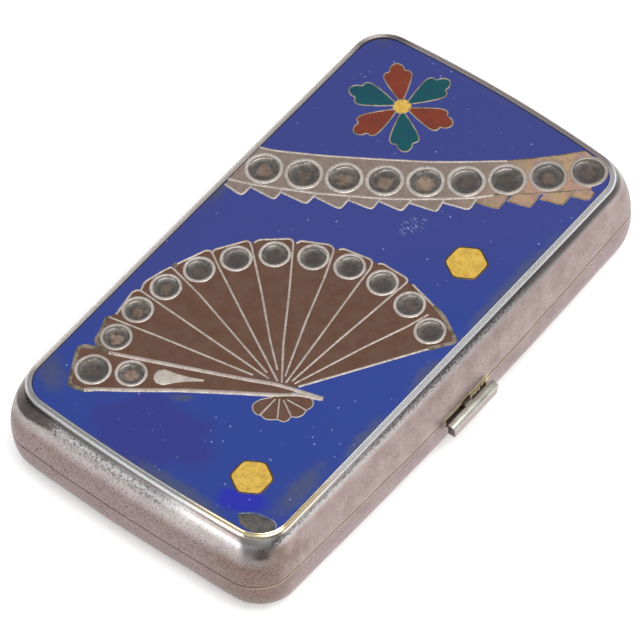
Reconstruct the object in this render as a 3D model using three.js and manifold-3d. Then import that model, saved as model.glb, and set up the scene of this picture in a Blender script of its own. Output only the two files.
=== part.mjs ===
// A flat pocket needle case in white metal, with an enamelled panel framed by a bead on its lid.
// Millimetres. +Z is up, the hinge runs along the -X side and the thumb piece sits on the +X side.

import * as THREE from 'three';
import { ParametricGeometry } from 'three/addons/geometries/ParametricGeometry.js';
import { mergeVertices } from 'three/addons/utils/BufferGeometryUtils.js';
import Module from 'manifold-3d';

const wasm = await Module();
wasm.setup();

// Enamel field on the lid
const enamelWidth = 48.1;
const enamelLength = 88.3;
const enamelCorner = 4.5;
const enamelThickness = 1.2;
const panelClearance = 0.05;

// Bead that frames the enamel
const beadWidth = 0.95;
const beadRise = 0.3;

// Body: how far the seam stands out past the enamel, and how much its sides bow.
// Its middle lies a little nearer the -Y end than the enamel's.
const bodyFlare = 3.55;
const bodyShift = 0.6;
const seamCornerGrowth = 0.1;
const longSideBow = 1.2;
const shortSideBow = 0.52;
const fieldLongBow = 0.05;

// Heights and walls
const baseHeight = 8.4;
const lidHeight = 8.3;
const seamGap = 0.12;
const wall = 0.8;
const floorThickness = 0.9;
const trayFloor = 0.8;
const undersideInset = 3.2;
const lidSlope = 2.3;
const baseSlope = 3.5;

// Hinge
const knuckleCount = 5;
const hingeLength = 50;
const knuckleRadius = 1.3;
const knuckleGap = 0.25;
const knuckleClearance = 0.25;
const hingeStandOff = 0.25;
const pinRadius = 0.6;
const boreClearance = 0.08;

// Thumb piece with its stem
const thumbLength = 10.9;
const thumbCentreY = -0.3;
const thumbThickness = 1.1;
const thumbHeight = 2.1;
const thumbEdgeRadius = 0.75;
const thumbDrop = 0.3;
const thumbGap = 0.65;
const stemWidth = 1.6;
const stemHeight = 1;
const stemDrop = 0.15;
const stemClearance = 0.2;
const stemHeadClearance = 0.1;
const stemHeadWidth = 3.2;
const stemHeadThickness = 0.5;
const stemHeadHeight = 1.3;

// Round cells for stones, now empty
const cellDepth = 0.6;
const cellRimRise = 0.12;
const cellRimWidth = 0.4;
const stripCellRadius = 2.77;
const fanCellRadius = 2.3;
const guardCellRadius = 2.65;

// Strip of cells across the lid, on a wide arc
const stripCells = 9;
const stripArcRadius = 138.9;
const stripArcCentre = new THREE.Vector2(-80.7, 136.45);
const stripFirstAngle = -64.48;
const stripPitch = 6.33;

// Fan: its cells lie on a circle round a point near the pivot
const fanCells = 11;
const fanArcRadius = 26.33;
const fanArcCentre = new THREE.Vector2(7.32, -21.63);
const fanFirstAngle = 193.2;
const fanAngleStep = 13.02;

// Guard stick of the fan
const guardCell = new THREE.Vector2(-17.19, -34.47);
const innerGuardCell = new THREE.Vector2(-12.08, -31.53);
const dropBulb = new THREE.Vector2(-7.7, -29.2);
const dropLength = 8;
const dropRadius = 1.45;
const dropRise = 0.28;
const dropTaper = 1.5;
const guardAngle = 31;

// Facets
const cornerSteps = 8;
const sideSteps = 8;
const wallSteps = 7;
const hollowSteps = 5;
const beadSteps = 6;
const cellSegments = 20;
const knuckleSegments = 20;
const dropSegments = 12;

// Places that follow from the sizes
const seamHeight = baseHeight;
const enamelHeight = baseHeight + lidHeight;
const lidRim = seamHeight + seamGap / 2;
const baseRim = seamHeight - seamGap / 2;
const halfBodyWidth = enamelWidth / 2 + bodyFlare;
const hingeX = -halfBodyWidth - hingeStandOff;
const thumbOuterX = halfBodyWidth + thumbGap + thumbThickness;
const boxCentreX = (thumbOuterX + hingeX - knuckleRadius) / 2;

const silver = { color: 0xb0a5a0, roughness: 0.45, metalness: 1 };
const gildedPin = { color: 0xa59a86, roughness: 0.4, metalness: 1 };
const blueEnamel = { color: 0x35479c, roughness: 0.25, metalness: 0 };

// Geometry helpers

function toSolid(geometry) {
  const bare = geometry.clone();
  bare.deleteAttribute('normal');
  bare.deleteAttribute('uv');
  const merged = mergeVertices(bare, 1e-4);
  const corners = merged.index.array;
  const kept = [];
  for (let i = 0; i < corners.length; i += 3) {
    const [a, b, c] = [corners[i], corners[i + 1], corners[i + 2]];
    if (a !== b && b !== c && c !== a) {
      kept.push(a, b, c);
    }
  }
  return new wasm.Manifold(new wasm.Mesh({
    numProp: 3,
    vertProperties: new Float32Array(merged.attributes.position.array),
    triVerts: new Uint32Array(kept),
  }));
}

function toNode(name, solid, look) {
  const mesh = solid.getMesh();
  const geometry = new THREE.BufferGeometry();
  geometry.setAttribute('position', new THREE.BufferAttribute(mesh.vertProperties, 3));
  geometry.setIndex(new THREE.BufferAttribute(mesh.triVerts, 1));
  geometry.computeVertexNormals();
  const node = new THREE.Mesh(geometry, new THREE.MeshStandardMaterial(look));
  node.name = name;
  return node;
}

function degrees(angle) {
  return THREE.MathUtils.degToRad(angle);
}

// One corner of the plan and half of each side beside it, for the +X +Y quarter
function quarterOutline(offset, fullness) {
  const halfWidth = enamelWidth / 2 + offset;
  const halfLength = enamelLength / 2 + offset;
  const radius = enamelCorner + Math.min(offset, beadWidth) + fullness * seamCornerGrowth;
  const longBow = THREE.MathUtils.lerp(fieldLongBow, longSideBow, fullness);
  const longTilt = Math.atan(2 * longBow / (halfLength - radius));
  const shortTilt = Math.atan(2 * shortSideBow / (halfWidth - radius));
  const centreX = halfWidth - longBow - radius * Math.cos(longTilt);
  const centreY = halfLength - shortSideBow - radius * Math.cos(shortTilt);
  const sideEndY = centreY + radius * Math.sin(longTilt);
  const sideEndX = centreX + radius * Math.sin(shortTilt);
  const points = [];
  for (let i = 0; i < sideSteps / 2; i++) {
    const share = i / (sideSteps / 2);
    points.push(new THREE.Vector2(halfWidth - longBow * share ** 2, sideEndY * share));
  }
  for (let i = 0; i <= cornerSteps; i++) {
    const angle = THREE.MathUtils.lerp(longTilt, Math.PI / 2 - shortTilt, i / cornerSteps);
    points.push(new THREE.Vector2(centreX + radius * Math.cos(angle), centreY + radius * Math.sin(angle)));
  }
  for (let i = 1; i < sideSteps / 2; i++) {
    const share = 1 - i / (sideSteps / 2);
    points.push(new THREE.Vector2(sideEndX * share, halfLength - shortSideBow * share ** 2));
  }
  points.push(new THREE.Vector2(0, halfLength));
  return points;
}

// The whole plan, a rounded rectangle with gently bowed sides, stood off from the enamel's edge
function planOutline(offset, fullness) {
  const quarter = quarterOutline(offset, fullness);
  const mirrored = quarter.map((p) => new THREE.Vector2(-p.x, p.y)).reverse();
  const farHalf = [...quarter, ...mirrored.slice(1)];
  const nearHalf = farHalf.map((p) => new THREE.Vector2(p.x, -p.y)).reverse();
  const outline = [...farHalf, ...nearHalf.slice(1, -1)];
  return outline.map((p) => new THREE.Vector2(p.x, p.y - fullness * bodyShift));
}

// A closed cushion form: each level is a plan outline, and both ends close on the middle line
function cushion(levels) {
  const rings = levels.map((level) => planOutline(level.offset, level.fullness));
  const count = rings[0].length;
  const rows = levels.length + 1;
  const place = (u, v, target) => {
    const row = Math.round(v * rows);
    const column = Math.round(u * count) % count;
    if (row === 0) {
      target.set(0, 0, levels[0].height);
    } else if (row === rows) {
      target.set(0, 0, levels[levels.length - 1].height);
    } else {
      const point = rings[row - 1][column];
      target.set(point.x, point.y, levels[row - 1].height);
    }
  };
  return toSolid(new ParametricGeometry(place, count, rows));
}

function lidOffset(depth) {
  const share = 1 - depth / lidHeight;
  return bodyFlare - (bodyFlare - beadWidth) * share ** lidSlope;
}

function baseOffset(height) {
  const share = 1 - height / baseHeight;
  return bodyFlare - undersideInset * share ** baseSlope;
}

function fullnessAt(offset) {
  return THREE.MathUtils.clamp((offset - beadWidth) / (bodyFlare - beadWidth), 0, 1);
}

function level(offset, height, inset = 0) {
  return { offset: offset - inset, height, fullness: fullnessAt(offset) };
}

function roundBar(radius, length, segments) {
  return toSolid(new THREE.CylinderGeometry(radius, radius, length, segments));
}

// Lid and base

function baseBody() {
  const levels = [];
  for (let i = 0; i <= wallSteps; i++) {
    const height = baseRim * i / wallSteps;
    levels.push(level(baseOffset(height), height));
  }
  return cushion(levels);
}

function baseHollow() {
  const levels = [];
  for (let i = 0; i <= hollowSteps; i++) {
    const height = THREE.MathUtils.lerp(floorThickness, baseRim, i / hollowSteps);
    levels.push(level(baseOffset(height), height, wall));
  }
  levels.push(level(bodyFlare, baseHeight + wall, wall));
  return cushion(levels);
}

function lidBody() {
  const levels = [];
  for (let i = 0; i <= wallSteps; i++) {
    const height = THREE.MathUtils.lerp(lidRim, enamelHeight, i / wallSteps);
    levels.push(level(lidOffset(enamelHeight - height), height));
  }
  for (let i = 1; i <= beadSteps; i++) {
    const angle = Math.PI * i / beadSteps;
    const offset = beadWidth / 2 * (1 + Math.cos(angle));
    levels.push(level(offset, enamelHeight + beadRise * Math.sin(angle)));
  }
  return cushion(levels);
}

function lidHollow() {
  const ceiling = enamelHeight - enamelThickness - panelClearance - trayFloor;
  const levels = [level(bodyFlare, seamHeight - wall, wall)];
  for (let i = 0; i <= hollowSteps; i++) {
    const height = THREE.MathUtils.lerp(lidRim, ceiling, i / hollowSteps);
    levels.push(level(lidOffset(enamelHeight - height), height, wall));
  }
  return cushion(levels);
}

function panelTray() {
  const trayHeight = enamelHeight - enamelThickness - panelClearance;
  return cushion([level(0, trayHeight), level(0, enamelHeight + beadRise)]);
}

// Hinge

function knucklePitch() {
  return hingeLength / knuckleCount;
}

function knuckleCentre(index) {
  return (index - (knuckleCount - 1) / 2) * knucklePitch() - bodyShift;
}

function knuckles(radius, first, allowance) {
  let joined = null;
  const length = knucklePitch() - knuckleGap + 2 * allowance;
  for (let i = first; i < knuckleCount; i += 2) {
    const knuckle = roundBar(radius, length, knuckleSegments).translate([hingeX, knuckleCentre(i), seamHeight]);
    joined = joined ? joined.add(knuckle) : knuckle;
  }
  return joined;
}

function hingeBore() {
  const bore = roundBar(pinRadius + boreClearance, hingeLength + 2 * knuckleGap, knuckleSegments);
  return bore.translate([hingeX, -bodyShift, seamHeight]);
}

function withKnuckles(shell, own, other) {
  const room = knuckles(knuckleRadius + knuckleClearance, other, knuckleGap / 2);
  return shell.subtract(room).add(knuckles(knuckleRadius, own, 0)).subtract(hingeBore());
}

// Thumb piece: a bar that stands off the wall on a stem, with a head inside the rim

function box(width, length, height) {
  return toSolid(new THREE.BoxGeometry(width, length, height));
}

function thumbBar() {
  const section = new THREE.Shape();
  const edge = thumbThickness - thumbEdgeRadius;
  section.moveTo(0, 0);
  section.lineTo(thumbThickness, 0);
  section.lineTo(thumbThickness, thumbHeight - thumbEdgeRadius);
  section.absarc(edge, thumbHeight - thumbEdgeRadius, thumbEdgeRadius, 0, Math.PI / 2);
  section.lineTo(0, thumbHeight);
  section.closePath();
  const bar = new THREE.ExtrudeGeometry(section, { depth: thumbLength, bevelEnabled: false, curveSegments: 6 });
  bar.rotateX(Math.PI / 2);
  bar.translate(halfBodyWidth + thumbGap, thumbCentreY + thumbLength / 2, seamHeight - thumbDrop - thumbHeight);
  return toSolid(bar);
}

// The stem runs from the back of its head to the middle of the bar
function stemSpan() {
  const headFace = halfBodyWidth - wall - stemHeadClearance;
  const inner = headFace - stemHeadThickness;
  const outer = halfBodyWidth + thumbGap + thumbThickness / 2;
  const top = seamHeight - thumbDrop - stemDrop;
  return { inner, outer, top, bottom: top - stemHeight };
}

function thumbStem() {
  const span = stemSpan();
  const stem = box(span.outer - span.inner, stemWidth, stemHeight);
  return stem.translate([(span.outer + span.inner) / 2, thumbCentreY, (span.top + span.bottom) / 2]);
}

function stemHead() {
  const span = stemSpan();
  const head = box(stemHeadThickness, stemHeadWidth, stemHeadHeight);
  return head.translate([span.inner + stemHeadThickness / 2, thumbCentreY, (span.top + span.bottom) / 2]);
}

function stemNotch() {
  const span = stemSpan();
  const bottom = span.bottom - stemClearance;
  const top = seamHeight + seamGap;
  const notch = box(2 * bodyFlare, stemWidth + 2 * stemClearance, top - bottom);
  return notch.translate([halfBodyWidth, thumbCentreY, (top + bottom) / 2]);
}

// Enamel panel with its round cells

function stripCentres() {
  const centres = [];
  const step = stripPitch / stripArcRadius;
  for (let i = 0; i < stripCells; i++) {
    const angle = degrees(stripFirstAngle) + i * step;
    const out = new THREE.Vector2(Math.cos(angle), Math.sin(angle)).multiplyScalar(stripArcRadius);
    centres.push(out.add(stripArcCentre));
  }
  return centres;
}

function fanCentres() {
  const centres = [];
  for (let i = 0; i < fanCells; i++) {
    const angle = degrees(fanFirstAngle - i * fanAngleStep);
    const out = new THREE.Vector2(Math.cos(angle), Math.sin(angle)).multiplyScalar(fanArcRadius);
    centres.push(out.add(fanArcCentre));
  }
  return centres;
}

function roundCells() {
  const strip = stripCentres().map((centre) => ({ centre, radius: stripCellRadius }));
  const fan = fanCentres().map((centre) => ({ centre, radius: fanCellRadius }));
  const guard = { centre: guardCell, radius: guardCellRadius };
  const innerGuard = { centre: innerGuardCell, radius: fanCellRadius };
  return [...strip, ...fan, guard, innerGuard];
}

function upright(radius, bottom, top) {
  const bar = new THREE.CylinderGeometry(radius, radius, top - bottom, cellSegments);
  bar.rotateX(Math.PI / 2);
  bar.translate(0, 0, (top + bottom) / 2);
  return toSolid(bar);
}

// A silver drop on the guard stick: a low half round bulb that runs out into a tail
function dropWidth(turn) {
  return Math.sin(turn) * Math.sin(turn / 2) ** dropTaper;
}

function silverDrop() {
  const fullestTurn = 2 * Math.atan(Math.sqrt(1 + dropTaper));
  const profile = [];
  for (let i = 0; i <= dropSegments; i++) {
    const turn = Math.PI * (1 - i / dropSegments);
    const inside = i > 0 && i < dropSegments;
    const radius = inside ? dropRadius * dropWidth(turn) / dropWidth(fullestTurn) : 0;
    profile.push(new THREE.Vector2(radius, dropLength / 2 * (1 + Math.cos(turn))));
  }
  const drop = new THREE.LatheGeometry(profile, dropSegments);
  drop.translate(0, -dropRadius, 0);
  drop.rotateZ(-Math.PI / 2);
  drop.scale(1, 1, dropRise / dropRadius);
  drop.rotateZ(degrees(guardAngle));
  drop.translate(dropBulb.x, dropBulb.y, enamelHeight);
  return toSolid(drop);
}

// The panel's edge also trims the rims of the cells that stand against the bead
function enamelPanel() {
  const bottom = enamelHeight - enamelThickness;
  const top = enamelHeight + cellRimRise;
  let panel = cushion([level(-panelClearance, bottom), level(-panelClearance, enamelHeight)]);
  for (const cell of roundCells()) {
    const rim = upright(cell.radius + cellRimWidth / 2, bottom, top);
    panel = panel.add(rim.translate([cell.centre.x, cell.centre.y, 0]));
  }
  panel = panel.intersect(cushion([level(-panelClearance, bottom), level(-panelClearance, top)]));
  for (const cell of roundCells()) {
    const well = upright(cell.radius - cellRimWidth / 2, enamelHeight - cellDepth, top + beadRise);
    panel = panel.subtract(well.translate([cell.centre.x, cell.centre.y, 0]));
  }
  return panel.add(silverDrop());
}

// Assembly

const baseShell = withKnuckles(baseBody().subtract(baseHollow()), 0, 1).subtract(stemNotch());
const lidShell = withKnuckles(lidBody().subtract(lidHollow()), 1, 0).subtract(panelTray());
const hingePin = roundBar(pinRadius, hingeLength, knuckleSegments).translate([hingeX, -bodyShift, seamHeight]);
const thumbPiece = thumbBar().add(thumbStem()).add(stemHead());

const needleCase = new THREE.Group();
needleCase.add(toNode('base_shell', baseShell, silver));
needleCase.add(toNode('lid_shell', lidShell, silver));
needleCase.add(toNode('enamel_panel', enamelPanel(), blueEnamel));
needleCase.add(toNode('hinge_pin', hingePin, gildedPin));
needleCase.add(toNode('thumb_piece', thumbPiece, silver));
needleCase.position.set(-boxCentreX, bodyShift, 0);

export default needleCase;
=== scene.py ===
# %% [markdown]
# # A flat enamelled needle case
#
# A pocket case of worn, silvered white metal. Its lid carries a framed panel of blue enamel with
# a flower, a strip of round settings and an open fan, all drawn in thin silver wire. The stones
# are gone from every setting, so the cells are empty and their floors have turned dark.
#
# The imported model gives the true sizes. Everything here is built in the same place, in
# millimetres measured from the middle of the enamel's face, and is turned into metres at the end.

import math

import bmesh
import bpy
from mathutils import Matrix, Vector, noise


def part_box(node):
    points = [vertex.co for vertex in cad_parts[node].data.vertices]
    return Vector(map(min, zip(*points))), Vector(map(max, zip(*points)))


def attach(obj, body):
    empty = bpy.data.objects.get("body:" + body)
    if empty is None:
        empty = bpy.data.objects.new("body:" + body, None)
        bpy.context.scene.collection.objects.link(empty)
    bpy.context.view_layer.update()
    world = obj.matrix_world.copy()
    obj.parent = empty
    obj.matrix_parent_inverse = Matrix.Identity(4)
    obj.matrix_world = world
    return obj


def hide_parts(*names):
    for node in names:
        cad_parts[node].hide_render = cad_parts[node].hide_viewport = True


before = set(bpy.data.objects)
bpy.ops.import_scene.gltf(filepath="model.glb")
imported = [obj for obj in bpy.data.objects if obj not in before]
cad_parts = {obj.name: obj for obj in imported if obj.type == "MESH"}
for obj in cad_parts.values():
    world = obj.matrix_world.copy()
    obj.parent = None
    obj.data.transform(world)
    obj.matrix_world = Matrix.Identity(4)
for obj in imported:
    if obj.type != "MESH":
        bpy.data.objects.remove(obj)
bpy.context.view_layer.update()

# %% [markdown]
# ## Where things are
#
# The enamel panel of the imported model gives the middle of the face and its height. From here on
# X runs across the case, Y along it and Z up from the enamel, all in millimetres.

# %% The face of the enamel
MM = 0.001
ENAMEL_THICKNESS = 1.2
panel_low, panel_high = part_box("enamel_panel")
face_centre = (panel_low + panel_high) / 2
face_centre.z = panel_low.z + ENAMEL_THICKNESS * MM
to_frame = Matrix.Translation(face_centre) @ Matrix.Scale(MM, 4)
print("middle of the face, mm:", [round(value / MM, 2) for value in face_centre])

# %% [markdown]
# ## Helpers for meshes
#
# A piece is modelled as a bmesh in millimetres. When it is finished it is placed in metres,
# its faces are turned outwards, and it is hung on the body of the case that carries it.

# %% Turn a bmesh into a finished piece
def add_object(name, data):
    made = bpy.data.objects.new(name, data)
    bpy.context.scene.collection.objects.link(made)
    return made


def finish_piece(bm, name, body, materials, sharp=35.0):
    """Place the mesh in the frame and hang it on its body."""
    bmesh.ops.transform(bm, matrix=to_frame, verts=bm.verts)
    mesh = bpy.data.meshes.new(name)
    bm.to_mesh(mesh)
    bm.free()
    mesh.shade_smooth()
    mesh.set_sharp_from_angle(angle=math.radians(sharp))
    for material in materials:
        mesh.materials.append(material)
    piece = add_object(name, mesh)
    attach(piece, body)
    print(f"{name}: {len(mesh.polygons)} faces")
    return piece


def finish_on_enamel(bm, name, *materials, sharp=60.0):
    """A finished piece that lies on the enamel and moves with the lid."""
    return finish_piece(bm, name, "lid", materials, sharp)


# %% Small steps that many pieces need
def turn_outwards(bm):
    bmesh.ops.remove_doubles(bm, verts=bm.verts, dist=1e-5)
    bmesh.ops.recalc_face_normals(bm, faces=bm.faces)


def new_verts_of(result):
    """The vertices that an extrusion made."""
    return [item for item in result["geom"] if isinstance(item, bmesh.types.BMVert)]


def pull(bm, vec):
    """Extrude a flat shape into a closed block."""
    result = bmesh.ops.extrude_face_region(bm, geom=bm.faces[:], use_keep_orig=True)
    bmesh.ops.translate(bm, vec=vec, verts=new_verts_of(result))
    bmesh.ops.recalc_face_normals(bm, faces=bm.faces)
    return bm


def soften(bm, edges, radius, segments):
    bmesh.ops.bevel(bm, geom=edges, offset=radius, offset_type="OFFSET", segments=segments, profile=0.5,
                    affect="EDGES", material=-1)


# %% Join one bmesh to another
def join(bm, other):
    """Add a second mesh to the first."""
    passing = bpy.data.meshes.new("passing")
    other.to_mesh(passing)
    other.free()
    bm.from_mesh(passing)
    bpy.data.meshes.remove(passing)


def joined(parts):
    whole = bmesh.new()
    for part in parts:
        join(whole, part)
    return whole


# %% Cut one bmesh with another
def as_object(bm):
    mesh = bpy.data.meshes.new("tool")
    bm.to_mesh(mesh)
    bm.free()
    return add_object("tool", mesh)


def as_bmesh(made):
    """What an object shows, with its modifiers or its bevel, as a bmesh."""
    shown = made.evaluated_get(bpy.context.evaluated_depsgraph_get())
    mesh = bpy.data.meshes.new_from_object(shown)
    bm = bmesh.new()
    bm.from_mesh(mesh)
    bpy.data.meshes.remove(mesh)
    return bm


def combine(bm, tool, operation):
    """Cut or fuse two closed meshes with a Boolean modifier, and bake it."""
    block, cutter = as_object(bm), as_object(tool)
    carving = block.modifiers.new("carving", "BOOLEAN")
    carving.operation = operation
    carving.solver = "EXACT"
    carving.object = cutter
    result = as_bmesh(block)
    for made in (block, cutter):
        bpy.data.objects.remove(made)
    return result


def cut(bm, tool):
    return combine(bm, tool, "DIFFERENCE")


def fuse(bm, tool):
    return combine(bm, tool, "UNION")


# %% [markdown]
# ## Helpers for materials
#
# Each finish is a small tree of nodes on one Principled shader. The coordinates are the piece's
# own Object coordinates, brought to millimetres from the middle of the enamel by one Mapping
# node, so a patch of wear can be put where the eye finds it on the real case.
#
# What a socket gives at every point of a surface is called a field here. Fields are added and
# multiplied with + and *, each of which lays one Math node, so a recipe for wear reads like a sum.

# %% Fields and nodes
class Field:
    """What the socket of a node gives at every point of a surface."""

    def __init__(self, socket):
        self.socket = socket

    def __add__(self, other):
        return maths("ADD", self, other)

    def __sub__(self, other):
        return maths("SUBTRACT", self, other)

    def __mul__(self, other):
        return maths("MULTIPLY", self, other)

    def __abs__(self):
        return maths("ABSOLUTE", self)


def plug(tree, socket, value):
    """Link a field to a socket, or set the socket to a plain value."""
    if isinstance(value, Field):
        tree.links.new(value.socket, socket)
    else:
        socket.default_value = value


def node(kind, output, inputs=(), tree=None, **settings):
    """Add a node to the tree of its first field. Inputs is a list of (socket, value or field)."""
    tree = tree or next(value.socket.id_data for _, value in inputs if isinstance(value, Field))
    made = tree.nodes.new("ShaderNode" + kind)
    for name, value in settings.items():
        setattr(made, name, value)
    for name, value in inputs:
        plug(tree, made.inputs[name], value)
    return Field(made.outputs[output])


# %% Masks
def maths(operation, first, second=0.5):
    return node("Math", 0, [(0, first), (1, second)], operation=operation)


def cloud(place, scale, detail=4.0, roughness=0.6):
    return node("TexNoise", "Fac", [("Vector", place), ("Scale", scale), ("Detail", detail),
                                    ("Roughness", roughness)])


def between(value, low, high, start=0.0, end=1.0):
    """Rise smoothly from start to end while the value goes from low to high."""
    return node("MapRange", "Result", [("Value", value), ("From Min", low), ("From Max", high),
                                       ("To Min", start), ("To Max", end)],
                interpolation_type="SMOOTHSTEP")


def strongest(*fields):
    top = fields[0]
    for field in fields[1:]:
        top = maths("MAXIMUM", top, field)
    return top


# %% Patches and mixtures
def mapped(place, **settings):
    """A place moved, turned and scaled by one Mapping node."""
    vector_type = settings.pop("vector_type", "POINT")
    inputs = [("Vector", place)] + [(name.title(), value) for name, value in settings.items()]
    return node("Mapping", "Vector", inputs, vector_type=vector_type)


def about_z(degrees):
    return 0.0, 0.0, math.radians(degrees)


def patch(place, centre, radii, turn=0.0):
    """One at the centre of an oval patch, falling to nothing at its rim."""
    moved = mapped(place, location=(*centre, 0.0), rotation=about_z(turn), scale=(*radii, 1000.0),
                   vector_type="TEXTURE")
    return node("TexGradient", "Fac", [("Vector", moved)], gradient_type="SPHERICAL")


def colour(tone):
    """A screen colour, red, green and blue from 0 to 255, as the linear values that a shader takes."""
    if isinstance(tone, Field):
        return tone
    parts = [value / 255 for value in tone]
    return (*[part / 12.92 if part <= 0.04 else ((part + 0.055) / 1.055) ** 2.4 for part in parts], 1.0)


def mix(amount, first, second):
    """Mix two tones by a field. A tone is a screen colour, or a field of colours."""
    return node("Mix", 2, [(0, amount), (6, colour(first)), (7, colour(second))], data_type="RGBA")


def bumps(height, depth, strength=1.0, under=None):
    """A Bump node for a height field that is so many millimetres deep."""
    inputs = [("Height", height), ("Distance", depth * MM), ("Strength", strength)]
    if under is not None:
        inputs.append(("Normal", under))
    return node("Bump", "Normal", inputs)


# %% Start and end of a finish
def millimetres(material):
    """Object coordinates in millimetres from the middle of the enamel's face."""
    place = node("TexCoord", "Object", tree=material.node_tree)
    return mapped(place, scale=(1 / MM,) * 3, location=tuple(-value / MM for value in face_centre))


def across_along_up(place):
    """The three coordinates of a place, each as a field."""
    return [node("SeparateXYZ", axis, [("Vector", place)]) for axis in "XYZ"]


def new_finish(name):
    """A new material, and the place of every point of its surface in millimetres."""
    material = bpy.data.materials.new(name)
    material.use_nodes = True
    return material, millimetres(material)


def shader_socket(material, name):
    return material.node_tree.nodes["Principled BSDF"].inputs[name.replace("_", " ")]


def paint(material, **values):
    """Give the shader its fields, and the values that are the same all over."""
    for name, value in values.items():
        plug(material.node_tree, shader_socket(material, name), value)
    return material


def colour_of(material):
    """The field that a finish already has as its colour."""
    return Field(shader_socket(material, "Base Color").links[0].from_socket)


# %% [markdown]
# ## The worn silver of the body
#
# Plated white metal that was carried in a pocket for years is neither bright nor flat: the
# plating is finely pitted, tarnish sits in the pits, and the high places are rubbed smooth.
# A broad noise makes the tarnish, a fine one the specks and their pits, and a coarser one the
# pebbled band on the shoulder. Everything else is placed by height below the enamel, by the
# distance across and along the case, and by oval patches. Some of it is painted light: dark bands
# and patches on the shoulder, low on the near end and in the seam are painted shade, and bright
# bands on the near shoulder and the near right bead are painted highlights.

# %% Places that several kinds of wear share
class Wear:
    """Fields of the body that more than one kind of wear reads."""

    def __init__(self, place):
        self.place = place
        self.across, self.along, self.height = across_along_up(place)
        self.pits = cloud(place, 3.4, 4.0, 0.7)
        self.pebbles = cloud(place, 2.3, 3.0, 0.6)
        self.near_end = between(self.along, -42.0, -46.0)
        self.near_shoulder = between(self.along, -42.0, -45.0)
        # the pebbled band stops short of the near right corner and fades along the right side
        self.near_band = between(self.across, 12.0, 4.0) * self.near_shoulder
        self.near_pebbles = self.near_band * self.level(-2.8, -1.8, -0.9, -0.5)
        right_pebbles = between(self.across, 24.0, 25.0) * self.level(-1.5, -1.0, -0.6, -0.3)
        self.pebbled = strongest(self.near_pebbles, right_pebbles * between(self.along, 34.0, 4.0, 0.15, 1.0))
        # a gold tinge on the bead at the near right corner, carrying a painted highlight
        gold_and_highlight = between(self.height, -0.3, 0.0) * patch(place, (24, -42), (22, 22))
        self.gold_and_highlight = between(gold_and_highlight, 0.2, 0.7)

    def level(self, foot, full, still_full, top):
        """One between two heights, fading to nothing below the foot and above the top."""
        return between(self.height, foot, full) * between(self.height, top, still_full)

    def line(self, height, reach, core):
        """One along a line round the wall at a height, fading to nothing at its reach."""
        return between(abs(self.height - height), reach, core)


# %% Tarnished wall, with painted shade at the near end
SPECK = (82, 64, 66)
NEAR_END_SHADE = (134, 116, 113)
BROWNED = (124, 103, 91)


def tarnished_wall(wear, light, dark):
    """Pink tarnish with dark specks, thicker at the near end, with painted shade low on the near end's wall,
    and brown at the near right corner.
    """
    tarnish = cloud(wear.place, 0.3, 6.0, 0.65)
    wall = mix(between(tarnish, 0.3, 0.7), light, dark)
    # painted shade: low on the near end the wall is darkened
    wall = mix(wear.near_end * between(wear.height, -2.6, -4.6, 0.0, 0.8), wall, NEAR_END_SHADE)
    browned = patch(wear.place, (23, -46), (15, 15)) + tarnish
    wall = mix(between(browned, 0.8, 1.3, 0.0, 0.7), wall, BROWNED)
    # the specks lie thicker low on the wall, where fingers don't rub
    density = between(wear.height, -1.5, -5.0, 0.1, 0.32) + wear.near_end * 0.36
    return mix(between(wear.pits, 0.5, 0.62) * density, wall, SPECK)


# %% Rubbed bead and shoulder, and painted highlights
BARE_SILVER = (212, 211, 213)
DULL_SILVER = (191, 191, 192)
LEFT_SILVER = (194, 184, 180)
FAR_SILVER = (150, 138, 134)
FAR_CORNER_SILVER = (112, 102, 99)
GOLD_TINGED_HIGHLIGHT = (248, 230, 192)


def rubbed_silver(wear):
    """Bare silver, duller on the left, near and far sides and darkest at the far left corner."""
    duller = strongest(between(wear.across, -21.0, -24.6), between(wear.along, -41.0, -44.6))
    bare = mix(duller, BARE_SILVER, DULL_SILVER)
    bare = mix(between(wear.across, -23.0, -24.4, 0.0, 0.8), bare, LEFT_SILVER)
    bare = mix(between(wear.along, 42.6, 44.2, 0.0, 0.8), bare, FAR_SILVER)
    far_corner = between(patch(wear.place, (-24.0, 44.5), (9, 9)), 0.1, 0.6, 0.0, 0.9)
    return mix(far_corner, bare, FAR_CORNER_SILVER)


def rubbed_clean_and_highlit(wear, wall):
    """Rub the bead and the shoulder clean of tarnish, paint a highlight band low on the near end's shoulder,
    frost the near end, and tint the near bead gold under a painted highlight.
    """
    # the bead and the shoulder are rubbed clean of tarnish, and a painted highlight band lies low on the near
    # end's shoulder
    clean_and_highlight = between(wear.height, -2.2, -0.2) + wear.near_end * between(wear.height, -4.6, -2.6, 0.0, 0.42)
    rubbed = mix(maths("MINIMUM", clean_and_highlight, 1.0), wall, rubbed_silver(wear))
    frosted = wear.near_end * 0.3 * between(wear.pits, 0.5, 0.64) * between(wear.height, -0.8, -2.0)
    # painted highlight: the near right bead is tinted gold, close to white
    return mix(wear.gold_and_highlight * 0.85, mix(frosted, rubbed, SPECK), GOLD_TINGED_HIGHLIGHT)


# %% Dirt and painted shade on the shoulder
SHOULDER_DARK_REFLECTION = (112, 101, 99)
CORNER_DARK_REFLECTION = (72, 62, 60)
PEBBLE_DIRT_AND_SHADE = (66, 61, 62)
BROWN_SHADE_BAND = (140, 122, 112)
DARK_GROOVE = (52, 47, 47)


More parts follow.
